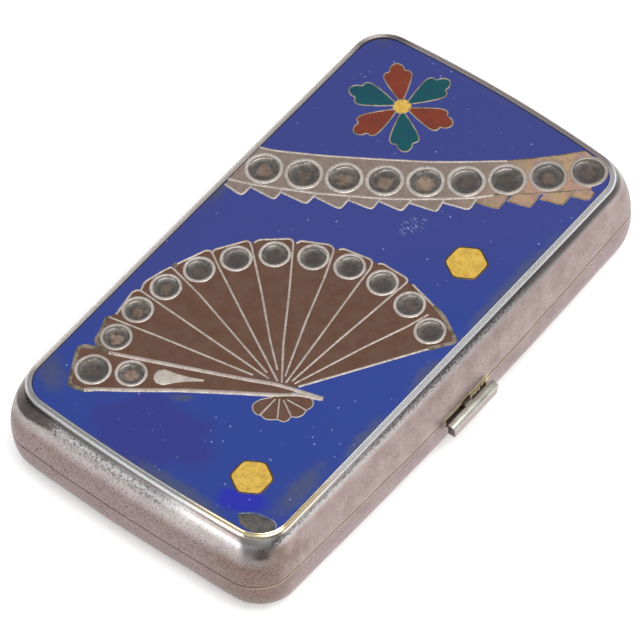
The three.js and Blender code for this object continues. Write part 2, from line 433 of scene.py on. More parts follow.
def shoulder_dirt_and_shade(wear, metal):
    """Painted shade under the bead and at the near corners, dirt and painted shade in the pebbled pits, a
    painted brown shade band, and a darker far groove.
    """
    sides = strongest(wear.near_band, between(wear.across, 24.0, 25.0))
    # painted shade: a dark band under the bead, for the dark horizon that the shoulder reflects
    under_bead = wear.level(-1.3, -0.6, -0.3, -0.1) * sides * 0.75
    # painted shade: dark patches at the near corners, for the dark reflections there
    right_corner = patch(wear.place, (25.0, -45.6), (3.4, 3.4)) * wear.level(-3.6, -2.4, -0.7, -0.2)
    left_corner = patch(wear.place, (-24.5, -46.5), (13, 9)) * wear.level(-3.0, -1.6, -0.4, -0.1) * 1.5
    corner = strongest(right_corner, left_corner) + wear.pebbles * 0.3
    metal = mix(strongest(under_bead, between(corner, 0.4, 0.75, 0.0, 0.8)), metal, SHOULDER_DARK_REFLECTION)
    metal = mix(between(corner, 0.5, 0.85, 0.0, 0.7), metal, CORNER_DARK_REFLECTION)
    # dirt in the pebbled pits, darkened further as painted shade
    metal = mix(wear.pebbled * between(wear.pebbles, 0.47, 0.62, 0.0, 0.62), metal, PEBBLE_DIRT_AND_SHADE)
    # painted shade: a brown band lies between the bead and the bright part of the near shoulder
    shade_band = wear.level(-1.15, -0.75, -0.3, -0.1) * between(wear.across, 7.0, 13.0) * wear.near_shoulder
    metal = mix(shade_band * 0.7, metal, BROWN_SHADE_BAND)
    # towards the far right corner the groove beside the bead is darker
    round_corner = between(patch(wear.place, (24.5, 45.5), (7.5, 7.5)), 0.1, 0.45)
    groove = wear.level(-2.1, -1.0, -0.35, -0.12) * strongest(between(wear.across, 23.6, 24.8), round_corner)
    return mix(groove * between(wear.along, -8.0, 30.0, 0.0, 0.88), metal, DARK_GROOVE)


# %% Brass and painted shade at the rim, and the whole finish
LIT_BRASS_EDGE = (204, 184, 140)
TORN_BRASS_LIGHTENED = (232, 214, 170)
SEAM_SHADE = (70, 56, 48)


def rim_brass_and_shade(wear, metal):
    """Brass with a painted highlight along the right rim, torn brass painted lighter behind the thumb piece,
    and painted shade in the seam.
    """
    # brass along the right rim's edge, brightened as a painted highlight
    metal = mix(wear.line(-8.56, 0.16, 0.06) * 0.5 * between(wear.across, 20.0, 25.0), metal, LIT_BRASS_EDGE)
    # real brass where the rim is torn, painted lighter than it is against the shade behind the thumb piece
    torn = between(patch(wear.place, (28, -0.3), (5, 6.6)), 0.05, 0.3) * wear.line(-8.5, 1.0, 0.5)
    metal = mix(torn * 0.85, metal, TORN_BRASS_LIGHTENED)
    # painted shade in the seam between lid and base
    return mix(wear.line(-8.3, 0.16, 0.07) * 0.5, metal, SEAM_SHADE)


def worn_silver(name, light, dark):
    material, place = new_finish(name)
    wear = Wear(place)
    metal = rubbed_clean_and_highlit(wear, tarnished_wall(wear, light, dark))
    metal = rim_brass_and_shade(wear, shoulder_dirt_and_shade(wear, metal))
    # rougher low on the wall, in the pits and on the pebbles, smooth where it is rubbed
    rough = between(wear.height, -3.2, -0.8, 0.42, 0.2) + between(wear.height, -0.4, 0.0, 0.0, 0.14)
    rough = rough + between(wear.pits, 0.45, 0.7, 0.0, 0.08) + wear.near_pebbles * 0.13
    skin = bumps(wear.pits, 0.02, between(wear.height, -0.2, -2.0, 0.0, 0.7))
    return paint(material, Metallic=0.92, Base_Color=metal, Roughness=rough - wear.gold_and_highlight * 0.2,
                 Normal=bumps(wear.pebbles, 0.07, wear.pebbled, under=skin))


lid_metal = worn_silver("worn silver, lid", (168, 152, 148), (149, 131, 128))
base_metal = worn_silver("worn silver, base", (159, 142, 140), (140, 122, 121))

# %% [markdown]
# The inside was never handled. It keeps the thin gilt wash that such cases are lined with, dulled
# to a soft brown where the air got in.

# %% Inner wash
GILT = (196, 174, 126)
DULLED_GILT = (152, 128, 92)
gilt, inside_place = new_finish("dull gilt wash")
stain = cloud(inside_place, 0.16, 6.0, 0.65)
grain = cloud(inside_place, 2.4, 3.0, 0.6)
paint(gilt, Metallic=0.85, Base_Color=mix(between(stain, 0.34, 0.72), GILT, DULLED_GILT),
      Roughness=between(grain, 0.3, 0.7, 0.36, 0.52), Normal=bumps(grain, 0.02, 0.5))

# %% [markdown]
# ## The plan of the case
#
# Seen from above the case is a rounded rectangle whose sides bow out a little. It starts as one
# square face: the four corners are rounded with a vertex bevel, and the sides are subdivided so
# that they can bow. A ring of that plan can then be stood off from the enamel by any distance.

# %% Sizes of the plan
ENAMEL_HALF_WIDTH = 24.05
ENAMEL_HALF_LENGTH = 44.15
ENAMEL_CORNER = 4.5
BEAD_WIDTH = 0.95
BODY_FLARE = 3.55
BODY_SHIFT = 0.6
SEAM_CORNER_GROWTH = 0.1
LONG_SIDE_BOW = 1.2
SHORT_SIDE_BOW = 0.52
FAR_SIDE_BOW = 0.33
FIELD_LONG_BOW = 0.05
LID_HEIGHT = 8.3
BASE_HEIGHT = 8.4


def fullness_at(stand_off):
    return min(max((stand_off - BEAD_WIDTH) / (BODY_FLARE - BEAD_WIDTH), 0.0), 1.0)


def stretch(value, half, corner, new_half, new_corner):
    """Move a coordinate outwards so that sides lengthen and corners keep their roundness."""
    straight = half - corner
    size = abs(value)
    if size <= straight:
        moved = size * (new_half - new_corner) / straight
    else:
        moved = new_half - new_corner + (size - straight) * new_corner / corner
    return math.copysign(moved, value)


# %% A point of the plan, stood off from the enamel's edge
def plan_point(x, y, stand_off, fullness):
    half_width = ENAMEL_HALF_WIDTH + stand_off
    half_length = ENAMEL_HALF_LENGTH + stand_off
    corner = max(ENAMEL_CORNER + min(stand_off, BEAD_WIDTH) + fullness * SEAM_CORNER_GROWTH, 0.5)
    wide = stretch(x, ENAMEL_HALF_WIDTH, ENAMEL_CORNER, half_width, corner)
    along = stretch(y, ENAMEL_HALF_LENGTH, ENAMEL_CORNER, half_length, corner)
    long_bow = FIELD_LONG_BOW + (LONG_SIDE_BOW - FIELD_LONG_BOW) * fullness
    bowed_x = wide * (1 - long_bow / half_width * min(abs(along) / (half_length - corner), 1.1) ** 2)
    middling = abs(wide) / (half_width - corner)
    bowed_y = along * (1 - SHORT_SIDE_BOW / half_length * min(middling, 1.1) ** 2)
    if along > half_length * 0.9:
        bowed_y += FAR_SIDE_BOW * (1 - fullness) * (1 - min(middling, 1.0) ** 2)
    return bowed_x, bowed_y - fullness * BODY_SHIFT


# %% One flat face with the enamel's plan
CORNER_SEGMENTS = 14
LONG_SIDE_CUTS = 35
SHORT_SIDE_CUTS = 19


def plan_plate():
    bm = bmesh.new()
    bmesh.ops.create_grid(bm, x_segments=1, y_segments=1, size=1)
    bmesh.ops.scale(bm, vec=(ENAMEL_HALF_WIDTH, ENAMEL_HALF_LENGTH, 1), verts=bm.verts)
    bmesh.ops.bevel(bm, geom=bm.verts[:], offset=ENAMEL_CORNER, offset_type="OFFSET",
                    segments=CORNER_SEGMENTS, profile=0.5, affect="VERTICES", material=-1)
    for cuts, axis in ((LONG_SIDE_CUTS, 1), (SHORT_SIDE_CUTS, 0)):
        sides = [edge for edge in bm.edges
                 if abs(edge.verts[0].co[axis] - edge.verts[1].co[axis]) > ENAMEL_HALF_WIDTH]
        bmesh.ops.subdivide_edges(bm, edges=sides, cuts=cuts)
    return bm


# %% [markdown]
# ## Raising a shell from the plan
#
# A shell is raised like a straight tube of rings, each ring extruded from the one before. Then
# every ring is given its place from a profile: how far it stands off, how high it is, and how
# full its sides are. The last ring is closed with a face, so the shell is one closed skin with a
# true wall, outside and inside.

# %% Raise and shape
def ring(stand_off, height, inset=0.0):
    return stand_off - inset, height, fullness_at(stand_off)


def raise_shell(rings, unevenness=0.0):
    bm = plan_plate()
    loop = [edge for edge in bm.edges if edge.is_boundary]
    for _ in rings[1:]:
        raised = bmesh.ops.extrude_edge_only(bm, edges=loop)
        new_verts = new_verts_of(raised)
        loop = [item for item in raised["geom"] if isinstance(item, bmesh.types.BMEdge)
                and all(vert in new_verts for vert in item.verts)]
        bmesh.ops.translate(bm, verts=new_verts, vec=(0, 0, 1))
    bmesh.ops.contextual_create(bm, geom=loop)
    for vert in bm.verts:
        stand_off, height, fullness = rings[round(vert.co.z)]
        x, y = plan_point(vert.co.x, vert.co.y, stand_off, fullness)
        wobble = noise.noise(Vector((x, y, height)) * 0.13) * unevenness * fullness
        vert.co = (x * (1 + wobble / 40), y * (1 + wobble / 60), height)
    turn_outwards(bm)
    return bm


# %% [markdown]
# ## Hinge
#
# Five knuckles run along the left-hand long side, three on the base and two on the lid, on one
# pin. Each shell is first relieved where the other's knuckles turn, then gets its own, and then
# both are bored for the pin. A knuckle is a short rod with softened ends.

# %% Sizes of the hinge, and rods
KNUCKLES = 5
HINGE_LENGTH = 50.0
KNUCKLE_PITCH = HINGE_LENGTH / KNUCKLES
KNUCKLE_RADIUS = 1.3
KNUCKLE_GAP = 0.25
KNUCKLE_CLEARANCE = 0.25
PIN_RADIUS = 0.6
BORE_CLEARANCE = 0.08
hinge_low, hinge_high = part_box("hinge_pin")
hinge_line = to_frame.inverted() @ ((hinge_low + hinge_high) / 2)
print("hinge line, mm from the face:", [round(value, 2) for value in hinge_line])


def upright_rod(radius, length, segments):
    bm = bmesh.new()
    bmesh.ops.create_cone(bm, cap_ends=True, segments=segments, radius1=radius, radius2=radius, depth=length)
    return bm


def rod(radius, length, centre, softened=0.0, segments=40):
    """A rod along Y with softened ends."""
    bm = upright_rod(radius, length, segments)
    if softened:
        ends = [edge for edge in bm.edges if abs(edge.verts[0].co.z - edge.verts[1].co.z) < 1e-6]
        soften(bm, ends, softened, 3)
    bmesh.ops.rotate(bm, cent=(0, 0, 0), matrix=Matrix.Rotation(math.pi / 2, 3, "X"), verts=bm.verts)
    bmesh.ops.translate(bm, vec=centre, verts=bm.verts)
    return bm


# %% Knuckles on a shell
def knuckle_row(first, radius, extra=0.0, softened=0.0):
    row = []
    for index in range(first, KNUCKLES, 2):
        middle = hinge_line + Vector((0, (index - (KNUCKLES - 1) / 2) * KNUCKLE_PITCH, 0))
        row.append(rod(radius, KNUCKLE_PITCH - KNUCKLE_GAP + 2 * extra, middle, softened))
    return joined(row)


def with_knuckles(shell, first):
    """A shell with room for the other's knuckles, its own from the first on, and the pin's bore."""
    shell = cut(shell, knuckle_row(1 - first, KNUCKLE_RADIUS + KNUCKLE_CLEARANCE, KNUCKLE_GAP / 2))
    shell = fuse(shell, knuckle_row(first, KNUCKLE_RADIUS, softened=0.18))
    return cut(shell, rod(PIN_RADIUS + BORE_CLEARANCE, HINGE_LENGTH + 1, hinge_line))


# %% [markdown]
# ## Lid
#
# The lid is one pressed shell. Its profile runs from the tray that holds the enamel, over the
# double bead that frames it, down the swelling wall, round the rim and back up the inside.

# %% Profile of the lid
WALL = 0.8
TRAY_FLOOR = 0.8
PANEL_CLEARANCE = 0.05
SEAM_HALF_GAP = 0.06
RIM_ROUNDING = 0.15
WALL_RINGS = 26
# two thin lips with a groove between them, as stand-off and height
BEAD_PROFILE = [(0.03, 0.12), (0.10, 0.24), (0.22, 0.30), (0.34, 0.26), (0.42, 0.15), (0.47, 0.09),
                (0.53, 0.13), (0.62, 0.22), (0.73, 0.24), (0.84, 0.17), (0.92, 0.05), (0.97, -0.06)]
# the rim's edge, as inset from the outside and distance back from the seam
RIM_PROFILE = [(0.02, 0.07), (0.07, 0.02), (0.16, 0.0), (0.64, 0.0), (0.74, 0.03), (0.8, 0.12)]


def lid_stand_off(depth):
    return BODY_FLARE - (BODY_FLARE - BEAD_WIDTH) * (1 - depth / LID_HEIGHT) ** 2.3


tray_height = -ENAMEL_THICKNESS - PANEL_CLEARANCE
lid_rings = [ring(0, tray_height), ring(0, -0.02)]
for stand_off, height in BEAD_PROFILE:
    lid_rings.append((stand_off, height, 0.0))
for index in range(1, WALL_RINGS + 1):
    depth = 0.15 + (LID_HEIGHT - SEAM_HALF_GAP - RIM_ROUNDING - 0.15) * (index / WALL_RINGS) ** 1.15
    lid_rings.append(ring(lid_stand_off(depth), -depth))
for inset, rise in RIM_PROFILE:
    lid_rings.append(ring(BODY_FLARE, -LID_HEIGHT + SEAM_HALF_GAP + rise, inset))
ceiling = tray_height - TRAY_FLOOR
for index in range(1, 11):
    depth = LID_HEIGHT - 0.2 - (LID_HEIGHT - 0.2 + ceiling - 0.5) * index / 10
    lid_rings.append(ring(lid_stand_off(depth), -depth, WALL))
lid_rings.append(ring(lid_stand_off(-ceiling - 0.1) - 0.35, ceiling - 0.12, WALL))
lid_rings.append(ring(lid_stand_off(-ceiling) - 0.9, ceiling, WALL))
print("rings of the lid:", len(lid_rings))

# %% [markdown]
# The wash inside is a second material. A face of the finished shell belongs to the inside when it
# looks towards the middle of the case, or when it is part of the ceiling or the floor in there.

# %% Make the lid
FLOOR_THICKNESS = 0.9
inner_floor = -LID_HEIGHT - BASE_HEIGHT + FLOOR_THICKNESS


def looks_inwards(middle, normal):
    """True for a face of the inner wall, the ceiling or the floor inside."""
    if normal.z < -0.8:
        return abs(middle.z - ceiling) < 0.3
    if normal.z > 0.8:
        return abs(middle.z - inner_floor) < 0.3
    sideways = Vector((middle.x / ENAMEL_HALF_WIDTH ** 2, middle.y / ENAMEL_HALF_LENGTH ** 2))
    return sideways.dot(normal.xy) < 0 and middle.z < ceiling + 0.3


def finish_shell(shell, name, metal):
    for face in shell.faces:
        face.material_index = 1 if looks_inwards(face.calc_center_median(), face.normal) else 0
    return finish_piece(shell, name, name, [metal, gilt])


UNEVENNESS = 0.25
lid = with_knuckles(raise_shell(lid_rings, UNEVENNESS), first=1)
lid_piece = finish_shell(lid, "lid", lid_metal)
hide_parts("lid_shell")

# %% [markdown]
# ## Base
#
# The base is the same shell the other way up: a flat underside with rounded edges, the wall, a
# rim and the inside down to the floor. Behind the thumb piece the rim has a slot, and a ragged
# strip of the rim is left above the far part of it, where the metal has torn and shows brass.

# %% Profile of the base
UNDERSIDE_INSET = 3.2


def base_stand_off(height):
    return BODY_FLARE - UNDERSIDE_INSET * (1 - height / BASE_HEIGHT) ** 3.5


underside = -LID_HEIGHT - BASE_HEIGHT
seam_base = -LID_HEIGHT - SEAM_HALF_GAP
base_rings = [ring(base_stand_off(0) - 0.5, underside)]
for index in range(0, WALL_RINGS + 1):
    height = 0.03 + (BASE_HEIGHT - SEAM_HALF_GAP - RIM_ROUNDING - 0.03) * (index / WALL_RINGS) ** 1.6
    base_rings.append(ring(base_stand_off(height), underside + height))
for inset, drop in RIM_PROFILE:
    base_rings.append(ring(BODY_FLARE, seam_base - drop, inset))
for index in range(1, 13):
    height = BASE_HEIGHT - 0.2 - (BASE_HEIGHT - 0.2 - FLOOR_THICKNESS - 0.15) * index / 12
    base_rings.append(ring(base_stand_off(height), underside + height, WALL))
base_rings.append(ring(base_stand_off(FLOOR_THICKNESS) - 0.5, inner_floor, WALL))
print("rings of the base:", len(base_rings))

# %% Slot and notch for the thumb piece
THUMB_CENTRE_Y = -0.3
THUMB_LENGTH = 10.9
THUMB_THICKNESS = 1.35
THUMB_HEIGHT = 2.1
THUMB_GAP = 0.65
THUMB_DROP = 0.3
STEM_WIDTH = 1.6
SLOT_INSIDE_X = 25.5
SLOT_DEPTH = 2.1
thumb_inner_x = ENAMEL_HALF_WIDTH + BODY_FLARE + THUMB_GAP
thumb_top = -LID_HEIGHT - THUMB_DROP


def block(low, high):
    """A box between two corners."""
    bm = bmesh.new()
    bmesh.ops.create_cube(bm, size=1)
    bmesh.ops.scale(bm, vec=Vector(high) - Vector(low), verts=bm.verts)
    bmesh.ops.translate(bm, vec=(Vector(high) + Vector(low)) / 2, verts=bm.verts)
    return bm


def torn_slot():
    """Cutter for the slot. Its upper edge is ragged at the far part, so a torn strip stays."""
    bm = bmesh.new()
    bmesh.ops.create_grid(bm, x_segments=1, y_segments=64, size=1)
    for vert in bm.verts:
        y = THUMB_CENTRE_Y + vert.co.y * (THUMB_LENGTH / 2 - 0.5)
        strip = 0.25 if y < -0.4 else max(1.05 + 1.1 * noise.noise(Vector((y * 2.7, 3.1, 0.4))), 0.2)
        vert.co = (SLOT_INSIDE_X, y, seam_base - (strip if vert.co.x > 0 else SLOT_DEPTH))
    return pull(bm, (3.5, 0, 0))


def stem_notch():
    half_width = STEM_WIDTH / 2 + 0.2
    return block((25.8, THUMB_CENTRE_Y - half_width, thumb_top - 1.35), (29, THUMB_CENTRE_Y + half_width, -7))


# %% Make the base
base = with_knuckles(cut(raise_shell(base_rings, UNEVENNESS), torn_slot()), first=0)
base_piece = finish_shell(cut(base, stem_notch()), "base", base_metal)
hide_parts("base_shell")

# %% [markdown]
# ## Hinge pin and thumb piece
#
# The pin is a drawn wire with slightly softened ends. The thumb piece is a little bar whose outer
# upper edge is rounded for the nail, on a short stem that goes through a notch in the rim.

# %% Plain metals for the small parts
def plain_metal(name, light, dark, roughness):
    material, place = new_finish(name)
    stains = cloud(place, 0.5, 5.0, 0.6)
    scratches = cloud(mapped(place, scale=(6.0, 0.6, 6.0)), 1.0, 4.0, 0.7)
    return paint(material, Metallic=0.9, Base_Color=mix(between(stains, 0.35, 0.65), light, dark),
                 Roughness=between(scratches, 0.3, 0.7, roughness - 0.08, roughness + 0.12),
                 Normal=bumps(scratches, 0.02, 0.6))


pin_metal = plain_metal("drawn wire", (190, 178, 150), (130, 115, 96), 0.38)
thumb_metal = plain_metal("rubbed silver, thumb piece", (198, 197, 188), (178, 176, 166), 0.42)

# %% The thumb piece is pinkish outside and dark at the near end, and its stem in the slot is painted dark as shade
across, along, height = across_along_up(millimetres(thumb_metal))
metal = mix(between(height, -8.9, -9.7), colour_of(thumb_metal), (170, 156, 153))
# painted shade: the stem inside the slot is darkened; the near end is dark too
dark = strongest(between(across, 28.15, 27.9), between(along, -5.6, -5.74)) * 0.85
paint(thumb_metal, Base_Color=mix(dark, metal, (74, 60, 58)))

# %% Pin
pin = rod(PIN_RADIUS, HINGE_LENGTH, hinge_line, softened=0.2, segments=32)
turn_outwards(pin)
pin_piece = finish_piece(pin, "pin", "base", [pin_metal])
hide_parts("hinge_pin")

# %% Thumb piece
THUMB_EDGE_RADIUS = 0.75
THUMB_CORNER_RADIUS = 0.7
STEM_HEIGHT = 1.0
STEM_FOOT_REACH = 1.6
thumb_near, thumb_far = THUMB_CENTRE_Y - THUMB_LENGTH / 2, THUMB_CENTRE_Y + THUMB_LENGTH / 2
thumb = block((thumb_inner_x, thumb_near, thumb_top - THUMB_HEIGHT),
              (thumb_inner_x + THUMB_THICKNESS, thumb_far, thumb_top))


def outside(edge):
    return all(vert.co.x > thumb_inner_x + 0.5 for vert in edge.verts)


def upright(edge):
    return abs(edge.verts[0].co.z - edge.verts[1].co.z) > 1


nail_edge = [edge for edge in thumb.edges
             if outside(edge) and all(vert.co.z > thumb_top - 0.5 for vert in edge.verts)]
soften(thumb, nail_edge, THUMB_EDGE_RADIUS, 10)
far_corner = [edge for edge in thumb.edges
              if outside(edge) and upright(edge) and all(vert.co.y > thumb_far - 0.01 for vert in edge.verts)]
soften(thumb, far_corner, THUMB_CORNER_RADIUS, 8)
soften(thumb, [edge for edge in thumb.edges if edge.calc_face_angle(0) > math.radians(40)], 0.12, 3)

# %% Stem of the thumb piece
stem_top = thumb_top - 0.15
stem_end = ENAMEL_HALF_WIDTH + BODY_FLARE - WALL - 0.1
stem_half = STEM_WIDTH / 2
join(thumb, block((stem_end - 0.5, THUMB_CENTRE_Y - stem_half, stem_top - STEM_HEIGHT),
                  (thumb_inner_x + 0.5, THUMB_CENTRE_Y + stem_half, stem_top)))
join(thumb, block((stem_end - 0.5, THUMB_CENTRE_Y - STEM_FOOT_REACH, stem_top - STEM_HEIGHT - 0.15),
                  (stem_end, THUMB_CENTRE_Y + STEM_FOOT_REACH, stem_top + 0.15)))
bmesh.ops.recalc_face_normals(thumb, faces=thumb.faces)
thumb_piece = finish_piece(thumb, "thumb_bar", "catch", [thumb_metal])
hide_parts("thumb_piece")

# %% [markdown]
# ## Where the settings are
#
# Nine settings stand on a wide arc across the lid, eleven on a circle round the fan's pivot and
# two on its guard stick. Their places come from the same few numbers as in the solid model.
# Every cell keeps its own share of old cement, from none to full.

# %% Centres of the round settings
STRIP_RADIUS = 2.77
FAN_RADIUS = 2.3
GUARD_RADIUS = 2.65
STRIP_ARC = ((-80.7, 136.45), 138.9)
STRIP_START = math.radians(-64.48)
STRIP_PITCH = 6.33
FAN_ARC = ((7.32, -21.63), 26.33)
FAN_START = 193.2
FAN_STEP = 13.02
STRIP_CEMENT = (0.6, 0.35, 0.6, 0.7, 1.0, 0.2, 0.1, 0.4, 0.25)
FAN_CEMENT = (0.95, 0.6, 0.4, 0.15, 0.0, 0.1, 0.0, 0.0, 0.05, 0.2, 0.05)


def on_arc(centre, radius, angle):
    return Vector((centre[0] + radius * math.cos(angle), centre[1] + radius * math.sin(angle)))


settings = []
for index, cement in enumerate(STRIP_CEMENT):
    angle = STRIP_START + index * STRIP_PITCH / STRIP_ARC[1]
    settings.append((on_arc(*STRIP_ARC, angle), STRIP_RADIUS, cement))
for index, cement in enumerate(FAN_CEMENT):
    angle = math.radians(FAN_START - index * FAN_STEP)
    settings.append((on_arc(*FAN_ARC, angle), FAN_RADIUS, cement))
settings.append((Vector((-17.19, -34.47)), GUARD_RADIUS, 0.1))
settings.append((Vector((-12.08, -31.53)), FAN_RADIUS, 0.9))
print("round settings:", len(settings))

# %% [markdown]
# ## Blue ground
#
# The ground is a plate of blue glass fused on metal. It fills the tray up to the bead, and each
# setting passes through it, so the plate is cut with a round hole for each. At the near right
# corner the glass has chipped away and the bare metal shows, a little lower. The glass itself is
# hazed where it is worn thin, scratched above the fan and full of small bright specks.

# %% Haze on the blue glass
BLUE = (28, 54, 134)
FAR_BLUE = (44, 55, 126)
VIOLET_BLUE = (37, 45, 123)
DEEP_BLUE = (18, 28, 158)
GREY_HAZE = (62, 68, 92)
# centre, radii and turn of each patch where the glass is worn thin and grey
HAZE_PATCHES = [
    ((22.0, -33), (3.4, 11)), ((23.8, -20), (2.4, 9)), ((7, -43.6), (16, 2.6)), ((24.2, -5), (2.8, 7)),
    ((24.5, 16), (3.6, 24)), ((-22.2, -38.6), (7.6, 4.2), -32), ((-23.5, 43), (5, 4)),
    ((-24.2, 3.5), (3.2, 7)), ((-3, -30.5), (4, 1.4), 32)]


def along_edge(coordinate, half, reach, strength):
    """A fade that is strongest at both edges of the panel."""
    return between(abs(coordinate), half - reach, half, 0.0, strength)


def hazed_blue(place):
    """The colour of the glass, and how hazed it is."""
    across, along, _ = across_along_up(place)
    glass = mix(between(along - across, -22.0, 14.0), BLUE, FAR_BLUE)
    violet = patch(place, (-3, -38), (13, 9)) + cloud(place, 0.12, 4.0, 0.55)
    glass = mix(between(violet, 0.62, 0.95), glass, VIOLET_BLUE)
    worn = strongest(*[patch(place, *oval) for oval in HAZE_PATCHES],
                     along_edge(across, ENAMEL_HALF_WIDTH, 1.0, 0.45),
                     along_edge(along, ENAMEL_HALF_LENGTH, 1.2, 0.5))
    ragged = cloud(place, 0.5, 7.0, 0.7) * 0.6
    haze = between(worn * 0.75 + ragged, 0.5, 0.92, 0.0, 0.9)
    haze = haze * between(cloud(place, 3.2, 3.0, 0.7), 0.4, 0.62, 0.6, 1.0)
    deep = patch(place, (16.2, -39.7), (6.4, 3.2), 24) + ragged * 0.9
    return mix(between(deep, 0.52, 0.78, 0.0, 0.9), mix(haze, glass, GREY_HAZE), DEEP_BLUE), haze


# %% Scratches and specks
def scratched(place, glass):
    strokes = cloud(mapped(place, rotation=about_z(-55), scale=(1.0, 5.0, 1.0)), 0.9, 4.0, 0.7)
    where = between(patch(place, (4.6, 16.2), (2.0, 3.4), -20), 0.1, 0.5)
    return mix(between(strokes, 0.56, 0.62) * where * 0.7, glass, (196, 200, 210))


def specked(place, glass):
    """Bright specks of undissolved glass, thicker near the right corner."""
    grains = [("Vector", place), ("Scale", 0.8), ("Randomness", 1.0)]
    dots = between(node("TexVoronoi", "Distance", grains), 0.17, 0.07)
    chance = between(node("TexVoronoi", "Color", grains), 0.4, 0.75)
    thick = cloud(place, 0.31, 2.0, 0.5) + patch(place, (17, -31), (14, 12))
    return mix(dots * chance * between(thick, 0.42, 0.6) * 0.5, glass, (168, 184, 222))


blue, blue_place = new_finish("blue enamel")
glass, haze = hazed_blue(blue_place)
waves = bumps(cloud(blue_place, 0.5, 3.0, 0.5), 0.03, 0.4)
paint(blue, Base_Color=specked(blue_place, scratched(blue_place, glass)),
      Roughness=between(haze, 0.0, 0.8, 0.3, 0.55),
      Normal=bumps(cloud(blue_place, 5.0, 3.0, 0.6), 0.01, 0.5, under=waves))

# %% Plates and the holes in them
CELL_DEPTH = 0.6
CHIP = [
    (17.3, -41.9), (18.3, -40.9), (19.4, -40.2), (20.3, -40.0), (22.0, -39.7), (23.1, -39.8),
    (23.8, -41.0), (22.9, -42.0), (21.7, -42.9), (20.4, -43.2), (18.7, -43.1)]


def plate(outline, top, depth):
    """A flat plate whose upper face goes through the corners of an outline."""
    bm = bmesh.new()
    corners = [bm.verts.new((x, y, top)) for x, y in outline]
    sides = [bm.edges.new(pair) for pair in zip(corners, corners[1:] + corners[:1])]
    bmesh.ops.contextual_create(bm, geom=sides)
    return pull(bm, (0, 0, -depth))


def room_for_settings():
    """Rods that cut the round holes for all the settings."""
    bottom, top = -CELL_DEPTH - 0.25, 1
    rods = []
    for centre, radius, _ in settings:
        rods.append(upright_rod(radius, top - bottom, 48))
        bmesh.ops.translate(rods[-1], vec=(*centre, (top + bottom) / 2), verts=rods[-1].verts)
    return joined(rods)


# %% Make the ground
ground_rings = [ring(-PANEL_CLEARANCE, -ENAMEL_THICKNESS), ring(-PANEL_CLEARANCE, -0.06),
                ring(-PANEL_CLEARANCE - 0.02, -0.02), ring(-PANEL_CLEARANCE - 0.08, 0.0)]
ground = cut(raise_shell(ground_rings), room_for_settings())
ground = cut(ground, plate(CHIP, 0.5, 0.65))
ground_piece = finish_on_enamel(ground, "blue_ground", blue, sharp=25)
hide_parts("enamel_panel")

# %% Bare metal in the chip
bare_metal, bare_place = new_finish("bare metal in the chip")
rot = cloud(bare_place, 0.6, 5.0, 0.65)
paint(bare_metal, Metallic=0.5, Roughness=0.6, Normal=bumps(rot, 0.15, 0.9),
      Base_Color=mix(between(rot, 0.35, 0.68), (78, 74, 70), (106, 101, 95)))
finish_on_enamel(plate(CHIP, -0.13, 0.1), "chip_floor", bare_metal, sharp=35)

# %% [markdown]
# ## Enamel of other colours
#
# The fan, the strip, the petals and the hexagons are cells of other glass beside the blue. The
# whole face was ground flush, so each is a thin plate that stands a hair above the ground, with
# its edge hidden under the wire round it.

# %% Finishes of the coloured glass
def coloured_glass(name, first, second, third=None, scale=0.25, gloss=0.5, speckling=0.6):
    """Two clouded tones of one glass, with specks of a third."""
    material, place = new_finish(name)
    broad = cloud(place, scale, 5.0, 0.6)
    grain = cloud(place, 2.2, 4.0, 0.7)
    shade = mix(between(broad, 0.38, 0.64), first, second)
    if third is not None:
        shade = mix(between(grain, speckling, speckling + 0.12, 0.0, 0.7), shade, third)
    return paint(material, Specular_IOR_Level=gloss, Base_Color=shade,
                 Roughness=between(grain, 0.3, 0.7, 0.28, 0.48),
                 Normal=bumps(grain, 0.02, 0.6, under=bumps(broad, 0.03, 0.4)))


brown = coloured_glass("brown enamel", (94, 65, 51), (88, 56, 38), (76, 54, 44), scale=0.4)
tan = coloured_glass("tan enamel", (130, 115, 106), (120, 104, 94), (98, 84, 76), scale=0.8)
red = coloured_glass("red enamel", (118, 43, 14), (108, 38, 22))
teal = coloured_glass("teal enamel", (0, 74, 80), (8, 67, 82), gloss=0.3)
yellow = coloured_glass("yellow enamel", (210, 172, 73), (193, 154, 59), (96, 70, 30), scale=0.8,
                        speckling=0.56)

# %% Lay one plate of glass
def rounded(points, radius=0.35, closed=False):
    """Round the corners of a path with three points each."""
    path = [Vector(point) for point in points]
    count = len(path)
    result = []
    for index, corner in enumerate(path):
        if not closed and index in (0, count - 1):
            result.append(corner)
            continue
        before = path[index - 1] - corner
        after = path[(index + 1) % count] - corner
        reach = min(radius, before.length * 0.45, after.length * 0.45)
        start = corner + before.normalized() * reach
        end = corner + after.normalized() * reach
        result.extend([start, (start + end + corner * 2) / 4, end])
    return result


GLASS_RISE = 0.025


def inlay(name, outlines, material, rise=GLASS_RISE, with_settings=False):
    """Thin plates for one or more outlines, as one piece."""
    whole = joined([plate(outline, rise, rise + 0.05) for outline in outlines])
    if with_settings:
        whole = cut(whole, room_for_settings())
    finish_on_enamel(whole, name, material, sharp=30)


# %% [markdown]
# ## Silver wire
#
# The drawing is done in flat silver wire, bent by hand and fused down edge to edge with the
# glass. A curve with a round bevel, flattened to a low crown, gives such a wire. Corners are
# rounded a little, because wire can't be bent sharply, and the thickness is never quite even.

